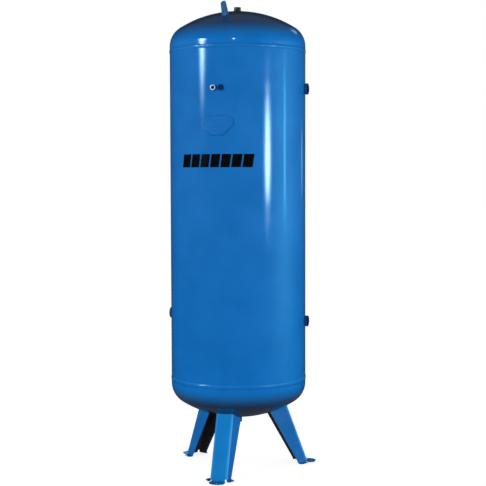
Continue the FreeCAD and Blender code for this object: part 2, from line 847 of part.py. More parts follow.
parts = [
    make_shell(),
    make_head("top_head", dims.upper_seam, +1),
    make_head("bottom_head", dims.lower_seam, -1),
    make_girth_weld("upper_girth_weld", dims.upper_seam),
    make_girth_weld("lower_girth_weld", dims.lower_seam),
    make_longitudinal_weld(),
]
for name, azimuth in LEG_AZIMUTHS.items():
    parts.append(make_leg(name + "_leg", azimuth))
    parts.append(make_leg_weld(name + "_leg_weld", azimuth))
for name, azimuth in LUG_AZIMUTHS.items():
    parts.append(make_lug(name + "_lug", azimuth))
    parts.append(make_lug_weld(name + "_lug_weld", azimuth))

top_place = FreeCAD.Placement(FreeCAD.Vector(0, 0, top_apex.value), FreeCAD.Rotation())
drain_place = FreeCAD.Placement(FreeCAD.Vector(0, 0, bottom_apex.value), DOWN)
outlet_place = side_placement(+1, dims.outlet_height)
inlet_place = side_placement(+1, dims.inlet_height)
side_place = side_placement(-1, dims.side_height)
LARGE = (dims.large_socket_dia, dims.large_bore, dims.socket_bead)
CROWN = (dims.crown_socket_dia, dims.crown_bore, dims.socket_bead)
GAUGE = (dims.gauge_socket_dia, dims.gauge_bore, dims.gauge_bead)
SOCKETS = [
    ("top", CROWN, dims.top_stand, top_place, cut_by_crown),
    ("drain", CROWN, dims.drain_stand, drain_place, cut_by_crown),
    ("outlet", LARGE, dims.large_stand, outlet_place, cut_by_shell),
    ("inlet", LARGE, dims.large_stand, inlet_place, cut_by_shell),
    ("side", LARGE, dims.large_stand, side_place, cut_by_shell),
    ("gauge", GAUGE, dims.gauge_stand, gauge_placement(-1), cut_by_shell),
    ("test", GAUGE, dims.gauge_stand, gauge_placement(+1), cut_by_shell),
]
for name, (outer_dia, bore_dia, bead), stand, placement, surface in SOCKETS:
    parts.append(make_socket(name + "_socket", outer_dia, bore_dia, stand, placement))
    parts.append(make_socket_weld(name + "_socket_weld", outer_dia, bead, placement, surface))
parts.append(make_plug("test_plug", gauge_placement(+1)))

over_film = radius + dims.decal_film
over_plate = over_film + dims.plate_sheet
plate = make_skin("data_plate", [plate_outline()], dims.plate_height, over_film, over_plate)
decal = make_skin("stripe_decal", decal_outlines(), dims.decal_height, radius, over_film)
parts += [plate, make_rivets(), decal]
doc.recompute()

# Checks, then export
for item in doc.Objects:
    if "Invalid" in item.State or "Error" in item.State:
        raise RuntimeError("%s failed: %s" % (item.Label, item.State))
os.makedirs("parts", exist_ok=True)
for part in parts:
    shape = part.Shape
    if shape.isNull() or not shape.isValid():
        raise RuntimeError("%s has no valid shape" % part.Label)
    shape.exportStep("parts/%s.step" % part.Label)
    print("%-22s solids %d  volume %.1f cm3" % (part.Label, len(shape.Solids), shape.Volume / 1000))
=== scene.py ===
"""Air receiver tank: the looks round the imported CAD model, in metres and in the CAD frame.

+Z is up along the tank's axis, the floor is at Z = 0, and -Y is the front.
"""

import json
import math
import random

import bmesh
import bpy
from mathutils import Matrix, Vector


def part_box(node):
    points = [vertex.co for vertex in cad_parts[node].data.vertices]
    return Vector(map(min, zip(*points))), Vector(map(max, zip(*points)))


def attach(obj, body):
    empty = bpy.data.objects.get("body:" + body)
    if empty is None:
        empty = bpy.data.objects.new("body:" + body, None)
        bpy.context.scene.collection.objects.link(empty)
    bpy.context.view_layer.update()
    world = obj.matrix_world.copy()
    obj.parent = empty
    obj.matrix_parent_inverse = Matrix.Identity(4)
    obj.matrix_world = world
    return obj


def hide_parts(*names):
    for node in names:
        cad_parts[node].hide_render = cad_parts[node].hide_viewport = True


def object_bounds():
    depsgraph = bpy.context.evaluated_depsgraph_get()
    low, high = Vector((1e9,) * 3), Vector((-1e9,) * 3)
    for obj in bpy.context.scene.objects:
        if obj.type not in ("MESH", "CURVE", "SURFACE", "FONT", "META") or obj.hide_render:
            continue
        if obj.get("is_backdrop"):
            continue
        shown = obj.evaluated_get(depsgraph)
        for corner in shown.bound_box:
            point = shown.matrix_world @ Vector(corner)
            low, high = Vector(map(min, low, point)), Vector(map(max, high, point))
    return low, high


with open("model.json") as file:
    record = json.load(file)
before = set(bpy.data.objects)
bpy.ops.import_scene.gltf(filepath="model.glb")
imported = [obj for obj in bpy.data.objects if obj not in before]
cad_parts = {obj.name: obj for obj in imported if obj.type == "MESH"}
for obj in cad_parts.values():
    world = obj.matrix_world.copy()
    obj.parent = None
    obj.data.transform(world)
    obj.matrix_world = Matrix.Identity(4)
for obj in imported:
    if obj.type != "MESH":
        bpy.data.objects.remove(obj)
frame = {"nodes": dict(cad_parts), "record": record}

scene = bpy.context.scene
nodes = frame["nodes"]
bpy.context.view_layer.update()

MM = 0.001

# The vessel as the CAD model has it. Every socket starts its own depth inside the wall's outer face
SOCKET_DEPTH = 8 * MM
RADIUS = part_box("outlet_socket")[0].x + SOCKET_DEPTH
CROWN_RADIUS = 480 * MM
KNUCKLE_RADIUS = 92.4 * MM
STRAIGHT_FLANGE = 23 * MM
LOWER_SEAM = sum(corner.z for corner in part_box("lower_girth_weld")) / 2
UPPER_SEAM = sum(corner.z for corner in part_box("upper_girth_weld")) / 2
KNUCKLE_OFFSET = RADIUS - KNUCKLE_RADIUS
CROWN_DROP = math.sqrt((CROWN_RADIUS - KNUCKLE_RADIUS) ** 2 - KNUCKLE_OFFSET ** 2)
TOP_CROWN_CENTRE = UPPER_SEAM + STRAIGHT_FLANGE - CROWN_DROP
BOTTOM_CROWN_CENTRE = LOWER_SEAM - STRAIGHT_FLANGE + CROWN_DROP
TOP_APEX = TOP_CROWN_CENTRE + CROWN_RADIUS
BOTTOM_APEX = BOTTOM_CROWN_CENTRE - CROWN_RADIUS

LEG_AZIMUTHS = {"front": 0.0, "right": 120.0, "left": -120.0}


# ---------------------------------------------------------------- camera, light and floor

def make_camera():
    """The camera fitted to the photo, in metres and radians."""
    azimuth = math.radians(16.347)
    distance = 5.2869
    height = 1.3098
    pitch = 0.0578
    yaw = -0.0041
    roll = -0.003
    data = bpy.data.cameras.new("camera")
    camera = bpy.data.objects.new("camera", data)
    scene.collection.objects.link(camera)
    camera.location = (distance * math.sin(azimuth), -distance * math.cos(azimuth), height)
    turn = Matrix.Rotation(azimuth + yaw, 4, "Z")
    turn @= Matrix.Rotation(math.pi / 2 - pitch, 4, "X")
    turn @= Matrix.Rotation(roll, 4, "Z")
    camera.rotation_euler = turn.to_euler()
    data.sensor_width = 36.0
    data.lens = 87.84
    data.clip_end = 100.0
    scene.camera = camera


class Tree:
    """Short calls for building a node tree."""

    def __init__(self, tree):
        self.tree = tree
        self.tree.nodes.clear()

    def node(self, kind, inputs=None, **settings):
        made = self.tree.nodes.new("ShaderNode" + kind)
        for name, value in settings.items():
            setattr(made, name, value)
        for name, value in (inputs or {}).items():
            self.put(made.inputs[name], value)
        return made

    def put(self, socket, value):
        if isinstance(value, bpy.types.NodeSocket):
            self.tree.links.new(value, socket)
        elif isinstance(value, bpy.types.Node):
            self.tree.links.new(value.outputs[0], socket)
        else:
            socket.default_value = value

    def math(self, operation, *values):
        made = self.tree.nodes.new("ShaderNodeMath")
        made.operation = operation
        for index, value in enumerate(values):
            self.put(made.inputs[index], value)
        return made.outputs[0]

    def ramp(self, value, low, high, start=0.0, end=1.0, smooth=True):
        kind = "SMOOTHSTEP" if smooth else "LINEAR"
        made = self.node("MapRange", interpolation_type=kind)
        for index, item in enumerate((value, low, high, start, end)):
            self.put(made.inputs[index], item)
        return made.outputs[0]


COOL = (0.5, 0.8, 1.0)
CYAN = (0.16, 0.75, 1.0)
NEUTRAL = (0.9, 0.95, 1.0)
# Lamps seen in the gloss, with angles in degrees: azimuth from the front towards +X, half widths where
# each begins and ends its fading in, the elevations of that fading in, those of its fading out, strength
# and tint
GLOSS_LAMPS = [
    (-45.2, (4.0, 5.0), (2.5, 10.0), (13.0, 15.0), 66.0, COOL),
    (67.3, (4.4, 4.4), (-1.9, 0.5), (0.8, 4.8), 50.0, COOL),
    (102.0, (2.0, 2.0), (-3.0, -0.5), (2.5, 6.5), 8.0, CYAN),
    (100.0, (24.0, 24.0), (-16.0, -2.0), (2.0, 14.0), 2.0, CYAN),
    (155.0, (2.0, 2.0), (-1.5, 0.0), (1.5, 2.6), 2.4, COOL),
    (10.0, (1.4, 1.4), (10.0, 11.0), (13.5, 14.5), 40.0, NEUTRAL),
    (158.0, (6.0, 6.0), (23.0, 26.0), (31.0, 34.0), 2.4, COOL),
    (-160.0, (5.0, 5.0), (-6.0, 0.0), (12.0, 16.0), 1.5, COOL),
]
# The soft light round the studio: azimuth, half width, strength
SOFT_LAMPS = [(-70.0, 42.0, 0.55), (95.0, 45.0, 0.7), (180.0, 60.0, 0.25)]
SOFT_BASE = 0.95
SOFT_STRENGTH = 5.3
SOFT_ELEVATION = 2.0
SOFT_BAND = 11.0
ZENITH = 0.03
# What the gloss sees between the lamps: all over, and below and above the horizon as the elevations
# between which it changes, then its values there
ROOM = 0.02
ROOM_BELOW = (-30.0, -12.0, 0.07, 0.0)
ROOM_ABOVE = (24.0, 46.0, 0.0, 0.11)
FLOOR_RADIUS = 40.0
FLOOR_DROP = 0.2 * MM
FLOOR_GLOW = 0.8
WHITE = (1.0, 1.0, 1.0, 1.0)


def lobe(tree, azimuth, centre, half_width):
    """A smooth bump round an azimuth, in degrees, that closes on itself behind the tank."""
    away = tree.math("WRAP", tree.math("SUBTRACT", azimuth, centre), 180.0, -180.0)
    share = tree.math("DIVIDE", away, half_width)
    return tree.math("EXPONENT", tree.math("MULTIPLY", tree.math("MULTIPLY", share, share), -1.0))


def make_world():
    world = bpy.data.worlds.new("studio")
    world.use_nodes = True
    scene.world = world
    tree = Tree(world.node_tree)
    direction = tree.node("TexCoord").outputs["Generated"]
    parts = tree.node("SeparateXYZ", {0: direction})
    east, north, up = parts.outputs
    degree = math.degrees(1.0)
    south = tree.math("MULTIPLY", north, -1.0)
    azimuth = tree.math("MULTIPLY", tree.math("ARCTAN2", east, south), degree)
    elevation = tree.math("MULTIPLY", tree.math("ARCSINE", up), degree)
    soft = SOFT_BASE
    for centre, half_width, strength in SOFT_LAMPS:
        lamp = tree.math("MULTIPLY", lobe(tree, azimuth, centre, half_width), strength)
        soft = tree.math("ADD", soft, lamp)
    band = lobe(tree, elevation, SOFT_ELEVATION, SOFT_BAND)
    diffuse = tree.math("MULTIPLY", soft, tree.math("MULTIPLY", band, SOFT_STRENGTH))
    diffuse = tree.math("ADD", diffuse, ZENITH)
    below = tree.ramp(elevation, *ROOM_BELOW)
    above = tree.ramp(elevation, *ROOM_ABOVE)
    room = tree.math("ADD", tree.math("ADD", below, above), ROOM)
    channels = [room, room, room]
    for centre, half_widths, rise, fall, strength, tint in GLOSS_LAMPS:
        fade_in = tree.ramp(elevation, *rise)
        fade_out = tree.ramp(elevation, *fall, 1.0, 0.0)
        window = tree.math("MULTIPLY", fade_in, fade_out)
        width = tree.ramp(elevation, *rise, *half_widths)
        lamp = tree.math("MULTIPLY", lobe(tree, azimuth, centre, width), window)
        for index, share in enumerate(tint):
            light = tree.math("MULTIPLY", lamp, strength * share)
            channels[index] = tree.math("ADD", channels[index], light)
    gloss = tree.node("CombineColor", dict(enumerate(channels)))
    path = tree.node("LightPath")
    to_camera = tree.node("Background", {"Color": WHITE})
    to_gloss = tree.node("Background", {"Color": gloss})
    to_diffuse = tree.node("Background", {"Strength": diffuse})
    seen = tree.node("MixShader", {0: path.outputs["Is Glossy Ray"], 1: to_diffuse, 2: to_gloss})
    seen = tree.node("MixShader", {0: path.outputs["Is Camera Ray"], 1: seen, 2: to_camera})
    tree.node("OutputWorld", {"Surface": seen})


def make_floor():
    mesh = bpy.data.meshes.new("floor")
    build = bmesh.new()
    bmesh.ops.create_circle(build, cap_ends=True, segments=96, radius=FLOOR_RADIUS)
    build.to_mesh(mesh)
    build.free()
    floor = bpy.data.objects.new("floor", mesh)
    scene.collection.objects.link(floor)
    floor.location.z = -FLOOR_DROP
    material = bpy.data.materials.new("floor_paint")
    material.use_nodes = True
    tree = Tree(material.node_tree)
    matt = tree.node("BsdfDiffuse", {"Color": (0.8, 0.8, 0.8, 1.0)})
    glow = tree.node("Emission", {"Color": WHITE, "Strength": FLOOR_GLOW})
    tree.node("OutputMaterial", {"Surface": tree.node("AddShader", {0: matt, 1: glow})})
    mesh.materials.append(material)
    floor.visible_diffuse = False
    floor.visible_glossy = False
    floor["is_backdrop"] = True


# ---------------------------------------------------------------- materials

BLUE = (0.003, 0.15, 0.495, 1.0)
# Painted shade that darkens faces looking up and down, with where each begins and is full in the normal's Z
TOP_SHADE = (0.1, 1.0, (0.011, 0.013, 0.018, 1.0))
UNDER_SHADE = (-0.07, -0.72, (0.014, 0.024, 0.038, 1.0))


def scaled(colour, share):
    return tuple(channel * share for channel in colour[:3]) + (1.0,)


def enamel(name, colour=BLUE, peel=0.35, sag=0.5, roughness=0.07, top_under_shade=0.0, specular=0.5):
    """Gloss enamel: orange peel, slow waves, faint patches, and painted shade darkening faces that look up
    and down.
    """
    material = bpy.data.materials.new(name)
    material.use_nodes = True
    tree = Tree(material.node_tree)
    place = tree.node("TexCoord").outputs["Object"]
    patches = tree.node("TexNoise", {"Vector": place, "Scale": 5.0, "Detail": 5.0, "Roughness": 0.62})
    shade = tree.node("Mix", data_type="RGBA")
    tree.put(shade.inputs["Factor"], tree.ramp(patches.outputs[0], 0.3, 0.7))
    tree.put(shade.inputs["A"], scaled(colour, 0.93))
    tree.put(shade.inputs["B"], scaled(colour, 1.07))
    specks = tree.node("TexNoise", {"Vector": place, "Scale": 420.0, "Detail": 3.0, "Roughness": 0.7})
    worn = tree.ramp(patches.outputs[0], 0.35, 0.75, roughness * 0.8, roughness * 1.35)
    rough = tree.math("ADD", worn, tree.math("MULTIPLY", specks.outputs[0], 0.02))
    # Painted shade: the colour darkens, in blotches, on faces that look up or down
    if top_under_shade:
        normal = tree.node("NewGeometry").outputs["Normal"]
        facing = tree.node("SeparateXYZ", {0: normal}).outputs["Z"]
        blotchy = tree.ramp(patches.outputs[0], 0.3, 0.7, 0.88, 1.0)
        for begins, full, shade_colour in (TOP_SHADE, UNDER_SHADE):
            shade_mask = tree.math("MULTIPLY", tree.ramp(facing, begins, full, smooth=False), blotchy)
            shaded = tree.node("Mix", data_type="RGBA")
            tree.put(shaded.inputs["Factor"], tree.math("MULTIPLY", shade_mask, top_under_shade))
            tree.put(shaded.inputs["A"], shade.outputs["Result"])
            tree.put(shaded.inputs["B"], shade_colour)
            shade = shaded
            rough = tree.math("ADD", rough, tree.math("MULTIPLY", shade_mask, 0.12))
    slow = tree.node("TexNoise", {"Vector": place, "Scale": 7.0, "Detail": 1.0, "Roughness": 0.4})
    grain = tree.node("TexNoise", {"Vector": place, "Scale": 170.0, "Detail": 2.0, "Roughness": 0.5})
    waves = tree.node("Bump", {"Strength": sag, "Distance": 0.0006, "Height": slow.outputs[0]})
    skin = tree.node("Bump", {
        "Strength": peel, "Distance": 0.00008, "Height": grain.outputs[0], "Normal": waves,
    })
    shader = tree.node("BsdfPrincipled", {
        "Base Color": shade.outputs["Result"],
        "Roughness": rough,
        "Normal": skin,
        "IOR": 1.5,
        "Specular IOR Level": specular,
    })
    tree.node("OutputMaterial", {"Surface": shader})
    return material


def plain_metal(name, colour, roughness, metallic, scale=300.0, bump=0.3, specular=0.5):
    material = bpy.data.materials.new(name)
    material.use_nodes = True
    tree = Tree(material.node_tree)
    place = tree.node("TexCoord").outputs["Object"]
    stain = tree.node("TexNoise", {"Vector": place, "Scale": scale, "Detail": 5.0, "Roughness": 0.65})
    shade = tree.node("Mix", data_type="RGBA")
    tree.put(shade.inputs["Factor"], tree.ramp(stain.outputs[0], 0.3, 0.7))
    tree.put(shade.inputs["A"], scaled(colour, 0.7))
    tree.put(shade.inputs["B"], scaled(colour, 1.3))
    rough = tree.ramp(stain.outputs[0], 0.2, 0.8, roughness * 0.75, roughness * 1.25)
    bump_node = tree.node("Bump", {"Strength": bump, "Distance": 0.0001, "Height": stain.outputs[0]})
    shader = tree.node("BsdfPrincipled", {
        "Base Color": shade.outputs["Result"],
        "Roughness": rough,
        "Metallic": metallic,
        "Specular IOR Level": specular,
        "Normal": bump_node,
    })
    tree.node("OutputMaterial", {"Surface": shader})
    return material


# The vessel's paint carries painted shade on its top and underside
vessel_paint = enamel("vessel_paint", top_under_shade=0.9)
weld_paint = enamel("weld_paint", peel=0.8, roughness=0.08)
# Darker paint for weld toes and the plate's upper edge: painted shade
toe_shade_paint = enamel("toe_shade_paint", scaled(BLUE, 0.5), peel=0.8, roughness=0.2, specular=0.15)
# Lighter paint for the upper side of the lower girth weld: painted highlight
lit_weld_paint = enamel("lit_weld_paint", scaled(BLUE, 1.2), peel=0.8, roughness=0.08)
shade_paint = enamel("shade_paint", scaled(BLUE, 0.25), peel=0.8, roughness=0.3, specular=0.05)
leg_paint = enamel("leg_paint", scaled(BLUE, 0.86), peel=0.6, roughness=0.14)
# Lighter paint on a leg's web, as painted light
lit_web_paint = enamel("lit_web_paint", (0.0065, 0.217, 0.6, 1.0), peel=0.6, roughness=0.12)
# Darker paint on a leg's weld bead under the head, as painted shade
leg_bead_shade_paint = enamel("leg_bead_shade_paint", scaled(BLUE, 0.4), peel=0.8, roughness=0.1)
lug_bead_paint = enamel("lug_bead_paint", scaled(BLUE, 0.3), peel=0.8, roughness=0.12)
# Lighter paint along a leg's bends, as painted highlight
bend_highlight_paint = enamel("bend_highlight_paint", (0.03, 0.28, 0.7, 1.0), peel=0.6, roughness=0.1)
crown_bead_paint = enamel("crown_bead_paint", (0.011, 0.016, 0.03, 1.0), peel=0.8, roughness=0.2)
lug_paint = enamel("lug_paint", (0.025, 0.12, 0.3, 1.0), peel=0.9, roughness=0.14)
# Sockets painted darker than the vessel, as painted shade
socket_shade_paint = enamel("socket_shade_paint", scaled(BLUE, 0.42), peel=0.6, roughness=0.16)
plate_paint = enamel("plate_paint", peel=0.7, roughness=0.08)
# Lighter paint on the embossed pads: painted highlight
pad_highlight_paint = enamel("pad_highlight_paint", scaled(BLUE, 1.45), peel=0.7, roughness=0.14)
plug_paint = enamel("plug_paint", (0.001, 0.02, 0.13, 1.0), peel=0.6, roughness=0.1)
thread_steel = plain_metal("thread_steel", (0.02, 0.03, 0.06), 0.45, 0.7)
socket_face = plain_metal("socket_face", (0.012, 0.03, 0.12), 0.4, 0.3)
black_steel = plain_metal("black_steel", (0.018, 0.019, 0.022), 0.35, 0.2)
# Pale blue face for the gauge socket: a painted highlight
gauge_face_highlight = plain_metal("gauge_face_highlight", (0.55, 0.78, 1.0), 0.3, 0.1)
film_black = plain_metal("film_black", (0.003, 0.003, 0.004), 0.16, 0.0, bump=0.1, specular=0.05)
# Near-black paint inside the legs, as painted shade
inside_shade_paint = plain_metal("inside_shade_paint", (0.017, 0.017, 0.024), 0.55, 0.0, scale=60.0)


# ---------------------------------------------------------------- mesh helpers

def soften_edges(piece, width, angle):
    edges = piece.modifiers.new("edges", "BEVEL")
    edges.width = width
    edges.segments = 2
    edges.limit_method = "ANGLE"
    edges.angle_limit = math.radians(angle)


def place_piece(name, build, materials, replaced=(), smooth_angle=35.0, bevel=None):
    """Makes an object of a bmesh, riding on the one body, and standing for the CAD nodes named."""
    bmesh.ops.recalc_face_normals(build, faces=build.faces)
    mesh = bpy.data.meshes.new(name)
    build.to_mesh(mesh)
    build.free()
    for material in materials:
        mesh.materials.append(material)
    mesh.polygons.foreach_set("use_smooth", [True] * len(mesh.polygons))
    mesh.set_sharp_from_angle(angle=math.radians(smooth_angle))
    piece = bpy.data.objects.new(name, mesh)
    scene.collection.objects.link(piece)
    if bevel:
        soften_edges(piece, bevel, 40)
    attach(piece, "root")
    if replaced:
        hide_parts(*replaced)
    return piece


def place_bead(name, build, materials, node):
    place_piece(name, build, materials, (node,), smooth_angle=60)


def add_rows(build, rows, closed_rows=False, closed_columns=False, materials=None, row_materials=None):
    """Quads between rows of points, with a material for each column or row.

    Returns the rows of vertices.
    """
    made = [[build.verts.new(point) for point in row] for row in rows]
    last_row = len(made) if closed_rows else len(made) - 1
    for i in range(last_row):
        here, after = made[i], made[(i + 1) % len(made)]
        last = len(here) if closed_columns else len(here) - 1
        for j in range(last):
            k = (j + 1) % len(here)
            face = build.faces.new((here[j], here[k], after[k], after[j]))
            if materials:
                face.material_index = materials[j]
            if row_materials:
                face.material_index = row_materials[i]
    return made


def add_tube(build, rows, closed_rows=False, materials=None):
    """Rows that close on themselves, with a cap at each end unless the rows close too."""
    made = add_rows(build, rows, closed_rows, closed_columns=True, materials=materials)
    if not closed_rows:
        build.faces.new(made[0])
        build.faces.new(made[-1])


def denser(stations, step, closed):
    """Adds stations about a step apart. A station is a tuple of vectors, its point first."""
    made = []
    count = len(stations)
    for number in range(count if closed else count - 1):
        here, after = stations[number], stations[(number + 1) % count]
        parts = max(1, round((after[0] - here[0]).length / step))
        for part in range(parts):
            made.append(tuple(one.lerp(other, part / parts) for one, other in zip(here, after)))
    if not closed:
        made.append(stations[-1])
    return made


def turn_z(azimuth):
    return Matrix.Rotation(math.radians(azimuth), 4, "Z")


def crown_matrix(azimuth, reach):
    """Standing square on the top crown, at a reach from the tank's axis."""
    tilt = Matrix.Rotation(math.asin(reach / CROWN_RADIUS), 4, "X")
    up = Matrix.Translation((0, 0, CROWN_RADIUS))
    return turn_z(azimuth) @ Matrix.Translation((0, 0, TOP_CROWN_CENTRE)) @ tilt @ up


def shell_matrix(azimuth, height):
    """Local Z square out of the shell at an azimuth from the front, local Y along the tank's axis."""
    out = Vector((math.sin(azimuth), -math.cos(azimuth), 0.0))
    across = Vector((0.0, 0.0, 1.0)).cross(out)
    matrix = Matrix((across, (0.0, 0.0, 1.0), out)).transposed().to_4x4()
    return Matrix.Translation(out * RADIUS + Vector((0, 0, height))) @ matrix


def crown_fall(distance):
    return math.sqrt(CROWN_RADIUS ** 2 - distance ** 2) - CROWN_RADIUS


def shell_fall(across):
    return math.sqrt(RADIUS ** 2 - across ** 2) - RADIUS


# ---------------------------------------------------------------- weld beads

BUTT_PITCH = 4.2 * MM
SEAM_HALF_WIDTH, SEAM_HEIGHT = 7.2 * MM, 1.8 * MM
BEAD_STEPS = 7
CAP_STEPS = 10
RIPPLE_SAMPLES = 5
GIRTH_SWAYS = 13
TOE_REACH = 5 * MM
# The slots of a girth weld across it: the shell's side lighter as painted highlight, the head's toe darker
# as painted shade
GIRTH_COLUMNS = [2, 2, 0, 0, 0, 0, 0, 0, 0, 1, 0, 0, 0]


def unevenness(distance, seed):
    """The slow wander of a hand-laid bead, about -1 to 1."""
    slow = math.sin(distance * 61.0 + seed * 2.1)
    middling = math.sin(distance * 143.0 + seed * 5.3)
    quick = math.sin(distance * 331.0 + seed * 1.7)
    return (slow + 0.6 * middling + 0.4 * quick) / 2


def fillet_bead(build, path, size, pitch, seed, closed):
    """A rippled bead in a corner. path: (root point, unit along one face, unit along the other)."""
    travelled = 0.0
    rows = []
    before = path[0][0]
    for root, one, other in path:
        travelled += (root - before).length
        before = root
        wander = unevenness(travelled, seed)
        row = []
        for step in range(BEAD_STEPS + 1):
            share = step / BEAD_STEPS
            lag = math.sin(share * math.pi) * 0.5
            scale = abs(math.sin(math.pi * (travelled / pitch + lag)))
            reach = size * (1.0 + 0.10 * wander + 0.07 * (scale - 0.6))
            bulge = 0.64 + 0.05 * wander + 0.07 * scale
            middle = 2 * share * (1 - share) * bulge * (one + other)
            corner = (1 - share) ** 2 * one + share ** 2 * other + middle
            row.append(root + corner * reach)
        sunk = (one + other) * (-0.12 * size)
        row.append(root + sunk + other * size * 0.5)
        row.append(root + sunk + one * size * 0.5)
        rows.append(row)
    add_tube(build, rows, closed)


def butt_bead(build, place, length, half_width, height, seed, closed, materials=None):
    """A rippled cap over a seam. place(along, across, lift) gives a point."""
    count = round(length / BUTT_PITCH) * RIPPLE_SAMPLES
    rows = []
    for index in range(count if closed else count + 1):
        along = length * index / count
        sway = math.sin(2 * math.pi * GIRTH_SWAYS * index / count + seed)
        slow = sway if closed else unevenness(along, seed)
        row = []
        for step in range(CAP_STEPS + 1):
            share = 2 * step / CAP_STEPS - 1
            chevron = along / BUTT_PITCH + 0.8 * share * share
            wave = math.sin(2 * math.pi * chevron)
            body = (1 - share * share) ** 0.7 if abs(share) < 1 else 0.0
            lift = height * body * (0.88 + 0.06 * wave + 0.05 * slow) - 0.2 * MM * (1 - body)
            width = half_width * (1.0 + 0.03 * slow + 0.02 * wave)
            row.append(place(along, share * width, lift))
        row.append(place(along, half_width * 0.8, -1.2 * MM))
        row.append(place(along, -half_width * 0.8, -1.2 * MM))
        rows.append(row)
    add_tube(build, rows, closed, materials)


def round_shell(angle, lift, height):
    reach = RADIUS + lift
    return Vector((reach * math.sin(angle), -reach * math.cos(angle), height))


def make_girth_weld(name, seam, head_side, lit_side_paint, seed):
    """The toe on the head's side is darker as painted shade, and the shell's side takes its own paint,
    lighter as painted highlight on the lower weld.
    """
    low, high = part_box(name)

    def place(along, across, lift):
        return round_shell(along / RADIUS, lift, seam + across * head_side)

    build = bmesh.new()
    half_width = (high.z - low.z) / 2
    height = high.x - RADIUS
    butt_bead(build, place, 2 * math.pi * RADIUS, half_width, height, seed, True, GIRTH_COLUMNS)
    place_bead(name + "_bead", build, [weld_paint, toe_shade_paint, lit_side_paint], name)


def make_longitudinal_weld():
    low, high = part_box("longitudinal_weld")
    middle = math.atan2((low.x + high.x) / 2, -(low.y + high.y) / 2)

    def place(along, across, lift):
        return round_shell(middle + across / RADIUS, lift, low.z + along)

    build = bmesh.new()
    butt_bead(build, place, high.z - low.z, SEAM_HALF_WIDTH, SEAM_HEIGHT, 3.0, closed=False)
    place_bead("longitudinal_weld_bead", build, [weld_paint], "longitudinal_weld")


def ring_path(matrix, radius, fall):
    """Round a socket: roots on the vessel's surface, one face outwards and the other up the socket."""
    path = []
    count = 96
    beyond = radius + TOE_REACH
    turn = matrix.to_3x3()
    for index in range(count):
        angle = 2 * math.pi * index / count
        aside, along = math.cos(angle), math.sin(angle)
        root = Vector((radius * aside, radius * along, fall(radius, aside)))
        toe = Vector((beyond * aside, beyond * along, fall(beyond, aside)))
        outward = (toe - root).normalized()
        path.append((matrix @ root, turn @ outward, turn @ Vector((0, 0, 1))))
    return path


def on_shell(distance, aside):
    """How far the shell has fallen at a distance from a socket's axis, aside being its share across."""
    return shell_fall(distance * aside)


def on_crown(distance, _):
    """The crown falls alike on every side."""
    return crown_fall(distance)


# ---------------------------------------------------------------- sockets and plug

# Outer and bore radius, thread depth and pitch, the fall of the wall round it, and its bead's size
SOCKETS = {
    "large": (24.25 * MM, 19.475 * MM, 1.479 * MM, 2.309 * MM, on_shell, 6 * MM),
    "crown": (15.0 * MM, 9.315 * MM, 1.162 * MM, 1.814 * MM, on_crown, 6 * MM),
    "gauge": (12.0 * MM, 7.475 * MM, 0.856 * MM, 1.337 * MM, on_shell, 4 * MM),
}
# The rounding of a socket's outer rim: how far in and how far down
SOCKET_ROUND = ((0.0, 1.6 * MM), (0.25 * MM, 0.9 * MM), (0.7 * MM, 0.35 * MM), (1.4 * MM, 0.0))
SOCKET_EASE = 0.5 * MM
SOCKET_BEAD_PITCH = 3.2 * MM
THREAD_CHAMFER = 1.5 * MM
THREAD_STEPS = 7
GAUGE_STAND = 14 * MM
GAUGE_OFFSET = 17 * MM
PLUG_FLATS = 8.5 * MM
PLUG_HEAD = 9.0 * MM
SHANK_RADIUS, SHANK_LENGTH = 7.4 * MM, 12.0 * MM
SEGMENTS = 72


def turned_row(matrix, profile):
    """Points round a local Z axis, where profile(angle) gives the radius and the height."""
    row = []
    for index in range(SEGMENTS):
        angle = 2 * math.pi * index / SEGMENTS
        radius, height = profile(angle)
        row.append(matrix @ Vector((radius * math.cos(angle), radius * math.sin(angle), height)))
    return row


def make_socket(name, kind, matrix, stand, seed, body_paint, face_paint, bead_paint):
    """A threaded socket with its weld bead. The paints are for its outside, face and bead."""
    outer, bore, depth, pitch, fall, bead = SOCKETS[kind]

    def circle(radius, height):
        return turned_row(matrix, lambda angle: (radius, height))

    def thread(height, fade):
        def profile(angle):
            phase = height / pitch - angle / (2 * math.pi)
            return bore + depth * (0.5 - 0.5 * math.cos(2 * math.pi * phase)) * fade, height
        return turned_row(matrix, profile)

    rows = [circle(bore + 1.0 * MM, -SOCKET_DEPTH), circle(outer - SOCKET_EASE, -SOCKET_DEPTH),
            circle(outer, -SOCKET_DEPTH + SOCKET_EASE)]
    rows += [circle(outer - inward, stand - down) for inward, down in SOCKET_ROUND]
    face_row = len(rows) - 3
    rows.append(circle(bore + THREAD_CHAMFER, stand))
    bore_row = len(rows)
    top = stand - THREAD_CHAMFER
    steps = round((top + SOCKET_DEPTH) / pitch * THREAD_STEPS)
    for step in range(steps + 1):
        height = top - (top + SOCKET_DEPTH) * step / steps
        rows.append(thread(height, min(1.0, min(step, steps - step) / 4)))
    paints = [0] * face_row + [1] * (bore_row - face_row) + [2] * (len(rows) - bore_row)
    build = bmesh.new()
    add_rows(build, rows, closed_rows=True, closed_columns=True, row_materials=paints)
    place_piece(name + "_socket_body", build, [body_paint, face_paint, thread_steel],
                (name + "_socket",), smooth_angle=50)
    build = bmesh.new()
    fillet_bead(build, ring_path(matrix, outer, fall), bead, SOCKET_BEAD_PITCH, seed, closed=True)
    place_bead(name + "_socket_bead", build, [bead_paint], name + "_socket_weld")


